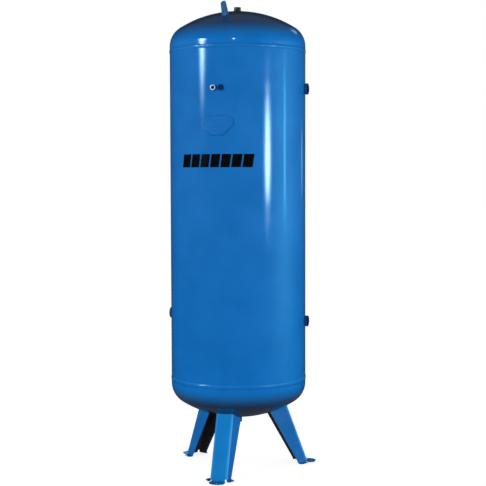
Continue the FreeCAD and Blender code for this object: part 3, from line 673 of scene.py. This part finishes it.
def make_plug(matrix, stand):
    """A hexagon-head plug with the usual turned chamfer on its head."""
    crown = PLUG_FLATS * 0.96

    def circle(radius, height):
        return turned_row(matrix, lambda angle: (radius, stand + height))

    def hexagon(angle):
        return PLUG_FLATS / math.cos((angle + math.pi / 6) % (math.pi / 3) - math.pi / 6)

    def chamfer(angle):
        return hexagon(angle), stand + PLUG_HEAD - (hexagon(angle) - crown) * 0.6

    rows = [
        circle(SHANK_RADIUS, -SHANK_LENGTH),
        circle(SHANK_RADIUS, 0.0),
        turned_row(matrix, lambda angle: (hexagon(angle), stand)),
        turned_row(matrix, chamfer),
        circle(crown, PLUG_HEAD),
        circle(crown * 0.72, PLUG_HEAD),
        circle(crown * 0.66, PLUG_HEAD - 0.5 * MM),
    ]
    build = bmesh.new()
    add_tube(build, rows)
    place_piece("test_plug_body", build, [plug_paint], ("test_plug",),
                smooth_angle=25, bevel=0.25 * MM)


# ---------------------------------------------------------------- lugs

LUG_REACH = 184 * MM
LUG_HALF = 27 * MM
LUG_HEIGHT = 60 * MM
LUG_HALF_SHEET = 6.5 * MM
LUG_CORNER = 3 * MM
LUG_CREST = 8 * MM
LUG_TOE = 10 * MM
LUG_EYE = 10 * MM
LUG_EYE_ACROSS, LUG_EYE_UP = -6 * MM, 37 * MM
LUG_EDGE_STEPS = 8
LUG_BEAD, LUG_BEAD_PITCH, LUG_BEAD_STEP = 5 * MM, 3.4 * MM, 0.8 * MM
LUG_BEAD_BEND = 3 * MM


def make_lug(name, azimuth, seed):
    """A plate with an eye. It stands along the radius, with local Y towards the tank's axis and Z up."""
    matrix = crown_matrix(azimuth, LUG_REACH)
    base = crown_fall(LUG_HALF)
    outline = [
        (-LUG_HALF, base), (0.0, -1.0 * MM), (LUG_HALF, base), (LUG_HALF, LUG_TOE), (LUG_CREST, LUG_HEIGHT),
        (LUG_CORNER - LUG_HALF, LUG_HEIGHT), (-LUG_HALF, LUG_HEIGHT - LUG_CORNER),
    ]
    outer = []
    for number, corner in enumerate(outline):
        here, after = Vector(corner), Vector(outline[(number + 1) % len(outline)])
        outer += [here.lerp(after, step / LUG_EDGE_STEPS) for step in range(LUG_EDGE_STEPS)]
    centre = Vector((LUG_EYE_ACROSS, LUG_EYE_UP))
    eye = [centre + (point - centre).normalized() * LUG_EYE for point in outer]
    rows = []
    for side, edge in ((1, outer), (1, eye), (-1, eye), (-1, outer)):
        rows.append([matrix @ Vector((side * LUG_HALF_SHEET, point.x, point.y)) for point in edge])
    build = bmesh.new()
    add_rows(build, rows, closed_rows=True, closed_columns=True)
    place_piece(name + "_lug_body", build, [lug_paint], (name + "_lug",),
                smooth_angle=30, bevel=1.0 * MM)
    build = bmesh.new()
    fillet_bead(build, lug_bead_path(matrix), LUG_BEAD, LUG_BEAD_PITCH, seed, closed=True)
    place_bead(name + "_lug_bead", build, [lug_bead_paint], name + "_lug_weld")


def lug_bead_path(matrix):
    """Round the foot of a lug, with rounded corners."""
    stations = []
    arc_steps = 6
    for x, y, start in ((1, 1, 0), (-1, 1, 90), (-1, -1, 180), (1, -1, 270)):
        inner = Vector((x * (LUG_HALF_SHEET - LUG_BEAD_BEND), y * (LUG_HALF - LUG_BEAD_BEND)))
        for step in range(arc_steps + 1):
            angle = math.radians(start + 90 * step / arc_steps)
            out = Vector((math.cos(angle), math.sin(angle)))
            stations.append((inner + out * LUG_BEAD_BEND, out))
    turn = matrix.to_3x3()
    path = []
    for point, out in denser(stations, LUG_BEAD_STEP, closed=True):
        root = Vector((point.x, point.y, crown_fall(point.length)))
        far = point + out.normalized() * TOE_REACH
        toe = Vector((far.x, far.y, crown_fall(far.length)))
        path.append((matrix @ root, turn @ (toe - root).normalized(), turn @ Vector((0, 0, 1))))
    return path


# ---------------------------------------------------------------- legs

LEG_FOOT_RADIUS = 317 * MM
LEG_SPLAY = 0.3712
HALF_WEB = 37 * MM
SHEET = 4 * MM
FLANGE_FOOT = 47 * MM
FLANGE_GROWTH = 0.189
FLANGE_FLARE = 0.142
LEG_BEND = 9 * MM
FOOT_BEND = 5 * MM
RELIEF_HEIGHT = 13 * MM
BLANK_HEIGHT = 300 * MM
# How far a leg runs into the head's wall
LEG_OVERLAP = 3 * MM
# The tabs turned out at the foot: length, then the power and depth of their rounded ends
WEB_TAB, WEB_TAB_POWER, WEB_TAB_ROUND = 44.5 * MM, 2.6, 0.42
SIDE_TAB, SIDE_TAB_POWER, SIDE_TAB_ROUND = 22 * MM, 2.4, 0.45
WEB_TAB_SPREAD = 5 * MM
SIDE_TAB_TRIM = 0.2
ANCHOR_OFFSET, ANCHOR_RADIUS = 25 * MM, 9 * MM
LEG_BEAD, LEG_BEAD_PITCH, LEG_BEAD_STEP = 6 * MM, 3.8 * MM, 0.9 * MM
LEG_SMOOTH = 32
WEB_STEPS, BEND_STEPS, FLANGE_STEPS = 6, 6, 8
BODY_ROWS = 14
# Material slots of the two faces of the sheet: the web lighter as painted light, the bends lighter as
# painted highlight, the inside dark as painted shade
OUTSIDE_SLOTS = {"web": 2, "bend": 3, "flange": 0}
INSIDE_SLOTS = {"web": 1, "bend": 1, "flange": 1}


def channel_section(height, inset):
    """The channel's plan outline from the left flange's tip to the right one's, set in by an inset."""
    outer = LEG_FOOT_RADIUS - LEG_SPLAY * height
    depth = FLANGE_FOOT + FLANGE_GROWTH * height
    slant = math.hypot(FLANGE_FLARE, 1.0)
    bend = LEG_BEND - inset
    along = LEG_BEND * (slant - FLANGE_FLARE)
    centre = Vector((HALF_WEB - along, LEG_BEND - outer))
    flange_normal = Vector((1.0, -FLANGE_FLARE)) / slant
    on_flange = centre + flange_normal * bend
    tip_outer = Vector((HALF_WEB + FLANGE_FLARE * depth, depth - outer))
    tip = tip_outer - flange_normal * inset
    half = []
    for step in range(WEB_STEPS + 1):
        half.append(Vector((centre.x * step / WEB_STEPS, centre.y - bend)))
    start = -math.pi / 2
    end = math.atan2(flange_normal.y, flange_normal.x)
    for step in range(1, BEND_STEPS + 1):
        angle = start + (end - start) * step / BEND_STEPS
        half.append(centre + Vector((math.cos(angle), math.sin(angle))) * bend)
    for step in range(1, FLANGE_STEPS + 1):
        half.append(on_flange.lerp(tip, step / FLANGE_STEPS))
    mirrored = [Vector((-point.x, point.y)) for point in reversed(half[1:])]
    kinds = ["web"] * WEB_STEPS + ["bend"] * BEND_STEPS + ["flange"] * FLANGE_STEPS
    return mirrored + half, kinds[::-1] + kinds


def meet_crown(low_point, high_point, radius):
    """How far up the line from low to high the bottom crown of that radius is met."""
    ray = high_point - low_point
    away = low_point - Vector((0.0, 0.0, BOTTOM_CROWN_CENTRE))
    square = ray.dot(ray)
    linear = 2 * ray.dot(away)
    constant = away.dot(away) - radius * radius
    return (-linear - math.sqrt(linear * linear - 4 * square * constant)) / (2 * square)


def leg_columns(inset, radius):
    """For each column, the points at the floor and where it meets the bottom crown of that radius."""
    columns = []
    for low, high in zip(channel_section(0.0, inset)[0], channel_section(BLANK_HEIGHT, inset)[0]):
        foot = Vector((low.x, low.y, 0.0))
        blank = Vector((high.x, high.y, BLANK_HEIGHT))
        columns.append((foot, foot.lerp(blank, meet_crown(foot, blank, radius))))
    return columns


def tab_points(foot, top, out, length, inside):
    """Down a column's last stretch, round the bend at its foot and out along its tab."""
    line = (foot - top).normalized()
    lift = 0.0 if inside else SHEET
    bend = FOOT_BEND + SHEET if inside else FOOT_BEND
    # The tangent arc between the column's line and the tab's level, turning towards out
    turn = math.atan2(-line.z, max(0.0, line.dot(out)))
    run = bend * math.tan(turn / 2)
    corner = foot - line * ((foot.z - lift) / line.z)
    centre = corner + out * run + Vector((0, 0, bend))
    start = corner - line * run - centre
    finish = corner + out * run - centre
    points = []
    arc_steps, tab_steps = 6, 5
    for step in range(arc_steps + 1):
        angle = turn * step / arc_steps
        weight_end = math.sin(angle) / math.sin(turn)
        weight_start = math.sin(turn - angle) / math.sin(turn)
        points.append(centre + start * weight_start + finish * weight_end)
    tip = foot + out * length
    tip.z = lift
    bend_end = points[-1]
    points += [bend_end.lerp(tip, step / tab_steps) for step in range(1, tab_steps + 1)]
    return points


def web_tab(feet, foot):
    """The tab under the web at a column's foot: direction, length, and how far it spreads aside."""
    share = foot.x / feet[len(feet) // 2 + WEB_STEPS].x
    length = WEB_TAB * (1 - abs(share) ** WEB_TAB_POWER * WEB_TAB_ROUND)
    return Vector((0, -1, 0)), length, WEB_TAB_SPREAD * share


def side_tab(feet, foot):
    """The same for the tab that turns out from a flange."""
    sign = math.copysign(1.0, foot.x)
    flange = [other.y for other in feet if other.x * sign > HALF_WEB - 1 * MM]
    middle = (min(flange) + max(flange)) / 2
    half = (max(flange) - min(flange)) / 2
    share = min(1.0, abs(foot.y - middle) / half)
    length = SIDE_TAB * (1 - share ** SIDE_TAB_POWER * SIDE_TAB_ROUND)
    length -= (abs(foot.x) - HALF_WEB) * SIDE_TAB_TRIM
    return Vector((sign, 0, 0)), length, 0.0


def leg_grid(build, kinds, inset, turn):
    """One face of the sheet as vertices, keyed by column and row, and by column and kind of tab."""
    columns = leg_columns(inset, CROWN_RADIUS - LEG_OVERLAP)
    feet = [foot for foot, _ in columns]
    grid = {}
    for column, (foot, top) in enumerate(columns):
        relief = foot + (top - foot) * ((RELIEF_HEIGHT - foot.z) / (top.z - foot.z))
        for row in range(BODY_ROWS + 1):
            grid[column, row] = build.verts.new(turn @ top.lerp(relief, row / BODY_ROWS))
        for kind, tab in (("web", web_tab), ("flange", side_tab)):
            if kind not in kinds[max(column - 1, 0):column + 1]:
                continue
            out, length, aside = tab(feet, foot)
            points = tab_points(foot, top, out, length, inset > 0)
            grid[column, kind] = []
            for index, point in enumerate(points):
                spread = Vector((aside * min(1.0, index / len(points)), 0, 0))
                grid[column, kind].append(build.verts.new(turn @ (point + spread)))
    return grid


def skin_leg(build, kinds, grid, slots):
    """The faces of one grid, with the relief cut open below the bends."""
    for column, kind in enumerate(kinds):
        rungs = [(grid[column, row], grid[column + 1, row]) for row in range(BODY_ROWS + 1)]
        if kind != "bend":
            rungs += zip(grid[column, kind], grid[column + 1, kind])
        for here, after in zip(rungs, rungs[1:]):
            face = build.faces.new((here[0], here[1], after[1], after[0]))
            face.material_index = slots[kind]


def close_leg_rim(build, outer, inner):
    """The sheet's edges, between the free edges of its two faces."""
    partner = {}
    for key, value in outer.items():
        if isinstance(value, list):
            partner.update(zip(value, inner[key]))
        else:
            partner[value] = inner[key]
    for edge in [edge for edge in build.edges if edge.is_boundary]:
        one, other = edge.verts
        if one in partner and other in partner:
            build.faces.new((one, other, partner[other], partner[one]))


def drill_foot(piece, turn):
    """The anchor hole through a leg's front tab, with the edges softened after it."""
    drill = bmesh.new()
    hole = turn @ Matrix.Translation((0, -(LEG_FOOT_RADIUS + ANCHOR_OFFSET), 0))
    bmesh.ops.create_cone(drill, cap_ends=True, segments=40, radius1=ANCHOR_RADIUS, radius2=ANCHOR_RADIUS,
                          depth=30 * MM, matrix=hole)
    drill_mesh = bpy.data.meshes.new("drill")
    drill.to_mesh(drill_mesh)
    drill.free()
    cutter = bpy.data.objects.new("drill", drill_mesh)
    scene.collection.objects.link(cutter)
    cut = piece.modifiers.new("anchor_hole", "BOOLEAN")
    cut.operation = "DIFFERENCE"
    cut.solver = "EXACT"
    cut.object = cutter
    bpy.context.view_layer.update()
    mesh = bpy.data.meshes.new_from_object(piece.evaluated_get(bpy.context.evaluated_depsgraph_get()))
    piece.modifiers.clear()
    piece.data = mesh
    bpy.data.objects.remove(cutter)
    mesh.polygons.foreach_set("use_smooth", [True] * len(mesh.polygons))
    mesh.set_sharp_from_angle(angle=math.radians(LEG_SMOOTH))
    soften_edges(piece, 0.7 * MM, 50)


def leg_bead_path(turn):
    """Along the top of a leg's outer face: one face down the leg, the other out along the head."""
    stations = []
    for column, (foot, point) in enumerate(leg_columns(0.0, CROWN_RADIUS)):
        section = channel_section(point.z, 0.0)[0]
        ahead = section[min(column + 1, len(section) - 1)] - section[max(column - 1, 0)]
        normal = Vector((ahead.y, -ahead.x, 0.0)).normalized()
        radial = (point - Vector((0, 0, BOTTOM_CROWN_CENTRE))).normalized()
        tangent = (normal - radial * normal.dot(radial)).normalized()
        stations.append((point, (foot - point).normalized(), tangent))
    spin = turn.to_3x3()
    path = []
    for point, down, tangent in denser(stations, LEG_BEAD_STEP, closed=False):
        path.append((turn @ point, spin @ down.normalized(), spin @ tangent.normalized()))
    return path


def make_leg(name, azimuth, seed):
    """A pressed channel with turned-out tabs, painted shade on its inside, painted light on its web and
    bends, an anchor hole and its weld bead, darkened as painted shade.
    """
    kinds = channel_section(0.0, 0.0)[1]
    turn = turn_z(azimuth)
    build = bmesh.new()
    outer = leg_grid(build, kinds, 0.0, turn)
    inner = leg_grid(build, kinds, SHEET, turn)
    skin_leg(build, kinds, outer, OUTSIDE_SLOTS)
    skin_leg(build, kinds, inner, INSIDE_SLOTS)
    close_leg_rim(build, outer, inner)
    piece = place_piece(name + "_leg_body", build, [leg_paint, inside_shade_paint, lit_web_paint, bend_highlight_paint],
                        (name + "_leg",), smooth_angle=LEG_SMOOTH)
    drill_foot(piece, turn)
    build = bmesh.new()
    fillet_bead(build, leg_bead_path(turn), LEG_BEAD, LEG_BEAD_PITCH, seed, closed=False)
    place_bead(name + "_leg_bead", build, [leg_bead_shade_paint], name + "_leg_weld")


# ---------------------------------------------------------------- data plate

PLATE_LOW_CORNER = 42 * MM
PLATE_TOP_WIDE, PLATE_TOP_TALL = 32 * MM, 14 * MM
PLATE_BACK, PLATE_FACE = 0.3 * MM, 1.5 * MM
PLATE_MARGIN = 1.02
# A slanting axis, along which no two points of the plate are level
SORT_AXIS = Vector((1.0, 3.7, 13.1))
RAISED = 1.9 * MM
BURIED = 0.2 * MM
# The border's place as shares of the plate's half width and height, and its width
BORDER_WIDE, BORDER_TALL, BORDER_WIDTH = 0.95, 0.92, 1.8 * MM
# The painted shade round the plate's edge: widths of its lower and upper strip, and their height
EDGE_SHADE_LOW, EDGE_SHADE_HIGH, EDGE_SHADE_LIFT = 4.4 * MM, 3.2 * MM, 0.7 * MM
# A strip's section: shares of its width, and whether it is up there
STRIP_SECTION = ((-0.5, False), (-0.32, True), (0.32, True), (0.5, False))
# Blank embossed fields, in mm: the heights of their rows, the half lengths of the top and other rows, and
# the ranges for where a row starts, how long a field is and the gap after it
FIELD_ROWS = (27, 17, 7, -3, -13)
TOP_FIELD, OTHER_FIELD = 38, 62
FIELD_START, FIELD_LENGTH, FIELD_GAP = (0, 4), (4, 11), (2.5, 5.0)
LAST_FIELD = 8
PAD_WIDTH, PAD_SHADE_WIDTH = 3.6 * MM, 6.0 * MM
# Rivets by their share of the plate's half width and height, and a head's profile of radius and lift in mm
RIVET_SPOTS = ((-0.84, 0.3), (0.84, 0.3), (-0.5, -0.78), (0.5, -0.78))
RIVET_PROFILE = ((3.0, 1.2), (3.0, 1.7), (2.8, 2.2), (2.2, 2.8), (1.3, 3.2), (0.5, 3.35))
RIVET_SEGMENTS = 20


def on_plate(across, up, lift):
    """A point over the shell from chord distance, height and lift."""
    return round_shell(math.asin(across / RADIUS), lift, up)


def raised_line(build, corners, step, width, low, high, closed):
    """A narrow raised strip along corners (across, up), mitred at them."""
    points = dense_line(corners, step, closed)
    count = len(points)
    rows = []
    for index, here in enumerate(points):
        before = points[index - 1] if closed or index > 0 else here
        after = points[(index + 1) % count] if closed or index < count - 1 else here
        back = (here - before).normalized() if here != before else None
        ahead = (after - here).normalized() if after != here else None
        back = back or ahead
        ahead = ahead or back
        mitre = Vector((-(back.y + ahead.y), back.x + ahead.x))
        mitre = mitre.normalized() / max(0.4, math.cos(back.angle(ahead) / 2))
        row = []
        for side, is_up in STRIP_SECTION:
            spot = here + mitre * width * side
            row.append(on_plate(spot.x, spot.y, high if is_up else low))
        rows.append(row)
    add_tube(build, rows, closed)


def dense_line(points, step, closed):
    made = []
    count = len(points)
    for index in range(count if closed else count - 1):
        here, after = Vector(points[index]), Vector(points[(index + 1) % count])
        parts = max(1, math.ceil((after - here).length / step))
        made += [here.lerp(after, part / parts) for part in range(parts)]
    if not closed:
        made.append(Vector(points[-1]))
    return made


def plate_outline(wide, tall):
    """The octagon from its upper left, going down and round. Its corners 2 to 5 are the lower edge."""
    return [
        (-wide, tall - PLATE_TOP_TALL), (-wide, PLATE_LOW_CORNER - tall), (PLATE_LOW_CORNER - wide, -tall),
        (wide - PLATE_LOW_CORNER, -tall), (wide, PLATE_LOW_CORNER - tall), (wide, tall - PLATE_TOP_TALL),
        (wide - PLATE_TOP_WIDE, tall), (PLATE_TOP_WIDE - wide, tall),
    ]


def make_plate():
    low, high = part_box("data_plate")
    middle, shift = (low.z + high.z) / 2, (low.x + high.x) / 2
    wide, tall = (high.x - low.x) / 2, (high.z - low.z) / 2
    outline = plate_outline(wide, tall)
    corners = [(x + shift, middle + z) for x, z in outline]
    build = bmesh.new()
    bmesh.ops.create_grid(build, x_segments=40, y_segments=4, size=1.0)
    for vertex in build.verts:
        across, up = vertex.co.x * wide * PLATE_MARGIN, vertex.co.y * tall * PLATE_MARGIN
        vertex.co = Vector((across + shift, up + middle, 0.0))
    for index, corner in enumerate(corners):
        after = corners[(index + 1) % len(corners)]
        normal = Vector((after[1] - corner[1], corner[0] - after[0], 0.0)).normalized()
        geometry = build.verts[:] + build.edges[:] + build.faces[:]
        bmesh.ops.bisect_plane(build, geom=geometry, plane_co=(corner[0], corner[1], 0.0), plane_no=normal,
                               clear_outer=True)
    raised = bmesh.ops.extrude_face_region(build, geom=build.faces[:])
    top = {item for item in raised["geom"] if isinstance(item, bmesh.types.BMVert)}
    for vertex in build.verts:
        vertex.co = on_plate(vertex.co.x, vertex.co.y, PLATE_FACE if vertex in top else PLATE_BACK)
    # The cuts leave their pieces in an order that varies from run to run, so they are put in order
    build.verts.sort(key=lambda vertex: vertex.co.dot(SORT_AXIS))
    build.faces.sort(key=lambda face: face.calc_center_median().dot(SORT_AXIS))
    border = [(x * BORDER_WIDE + shift, middle + z * BORDER_TALL) for x, z in outline]
    raised_line(build, border, 6 * MM, BORDER_WIDTH, PLATE_FACE - BURIED, RAISED, True)
    place_piece("data_plate_body", build, [plate_paint], ("data_plate",), smooth_angle=25)

    # Dark strips of painted shade round the plate's edge, darkest along the lower right
    for name, edge, width, paint in (("low", corners[2:6], EDGE_SHADE_LOW, shade_paint),
                                     ("high", corners[5:] + corners[:3], EDGE_SHADE_HIGH, toe_shade_paint)):
        build = bmesh.new()
        raised_line(build, edge, 5 * MM, width, -BURIED, EDGE_SHADE_LIFT, False)
        place_piece("data_plate_edge_shade_" + name, build, [paint])
    make_fields(shift, middle)
    make_rivets(shift, middle, wide, tall)


def make_fields(shift, middle):
    """Blank embossed fields: short plain pads in rows, lighter as painted highlight, each on a wider dark
    strip of painted shade.
    """
    dice = random.Random(7)
    pads, pad_shades = bmesh.new(), bmesh.new()
    for up in FIELD_ROWS:
        reach = TOP_FIELD if up == FIELD_ROWS[0] else OTHER_FIELD
        start = -reach + dice.uniform(*FIELD_START)
        while start < reach - LAST_FIELD:
            length = min(dice.uniform(*FIELD_LENGTH), reach - start)
            level = middle + up * MM
            left, right = start * MM + shift, (start + length) * MM + shift
            raised_line(pad_shades, [(left, level), (right, level)], 5 * MM, PAD_SHADE_WIDTH,
                        PLATE_FACE - 0.3 * MM, PLATE_FACE + 0.04 * MM, False)
            raised_line(pads, [(left + 0.5 * MM, level), (right - 0.5 * MM, level)], 5 * MM, PAD_WIDTH,
                        PLATE_FACE - BURIED, RAISED, False)
            start += length + dice.uniform(*FIELD_GAP)
    place_piece("data_plate_pads", pads, [pad_highlight_paint], smooth_angle=25)
    place_piece("data_plate_pad_shades", pad_shades, [shade_paint], smooth_angle=25)


def make_rivets(shift, middle, wide, tall):
    build = bmesh.new()
    for across, up in RIVET_SPOTS:
        rows = []
        for radius, lift in RIVET_PROFILE:
            row = []
            for index in range(RIVET_SEGMENTS):
                angle = 2 * math.pi * index / RIVET_SEGMENTS
                x = across * wide + shift + radius * MM * math.cos(angle)
                z = middle + up * tall + radius * MM * math.sin(angle)
                row.append(on_plate(x, z, lift * MM))
            rows.append(row)
        add_tube(build, rows)
    place_piece("plate_rivet_heads", build, [plate_paint], ("plate_rivets",), smooth_angle=60)


# ---------------------------------------------------------------- the build

make_camera()
make_world()
make_floor()
scene.view_settings.view_transform = "Standard"

by_slot = {
    "vessel_enamel": vessel_paint, "weld_enamel": weld_paint, "leg_enamel": leg_paint,
    "lug_enamel": lug_paint, "socket_enamel": socket_shade_paint, "plug_steel": plug_paint,
    "plate_enamel": plate_paint, "rivet_metal": plate_paint, "decal_film": film_black,
}
for part in frame["record"]["subparts"]:
    for slot in nodes[part["node"]].material_slots:
        slot.material = by_slot[part["material_slot"]]

make_girth_weld("upper_girth_weld", UPPER_SEAM, 1, weld_paint, 1.0)
# The lower weld's upper side is lighter, as painted highlight
make_girth_weld("lower_girth_weld", LOWER_SEAM, -1, lit_weld_paint, 2.0)
make_longitudinal_weld()

for number, (name, azimuth) in enumerate(LEG_AZIMUTHS.items()):
    make_leg(name, azimuth, 10.0 + number)
make_lug("front", 0.0, 20.0)
make_lug("rear", 180.0, 21.0)

on_top = Matrix.Translation((0, 0, TOP_APEX))
underneath = Matrix.Translation((0, 0, BOTTOM_APEX)) @ Matrix.Rotation(math.pi, 4, "X")
make_socket("top", "crown", on_top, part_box("top_socket")[1].z - TOP_APEX, 30.0,
            black_steel, black_steel, crown_bead_paint)
make_socket("drain", "crown", underneath, BOTTOM_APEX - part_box("drain_socket")[0].z, 31.0,
            socket_shade_paint, socket_face, crown_bead_paint)
for number, (name, side) in enumerate((("outlet", 1), ("inlet", 1), ("side", -1))):
    low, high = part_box(name + "_socket")
    stand = max(abs(low.x), abs(high.x)) - RADIUS
    matrix = shell_matrix(side * math.pi / 2, (low.z + high.z) / 2)
    make_socket(name, "large", matrix, stand, 32.0 + number, socket_shade_paint, socket_face, weld_paint)
for number, (name, side, face_paint) in enumerate((("gauge", -1, gauge_face_highlight), ("test", 1, plug_paint))):
    low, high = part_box(name + "_socket")
    matrix = shell_matrix(math.asin(side * GAUGE_OFFSET / RADIUS), (low.z + high.z) / 2)
    make_socket(name, "gauge", matrix, GAUGE_STAND, 40.0 + number, socket_shade_paint, face_paint, weld_paint)
make_plug(matrix, GAUGE_STAND)
make_plate()

low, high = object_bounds()
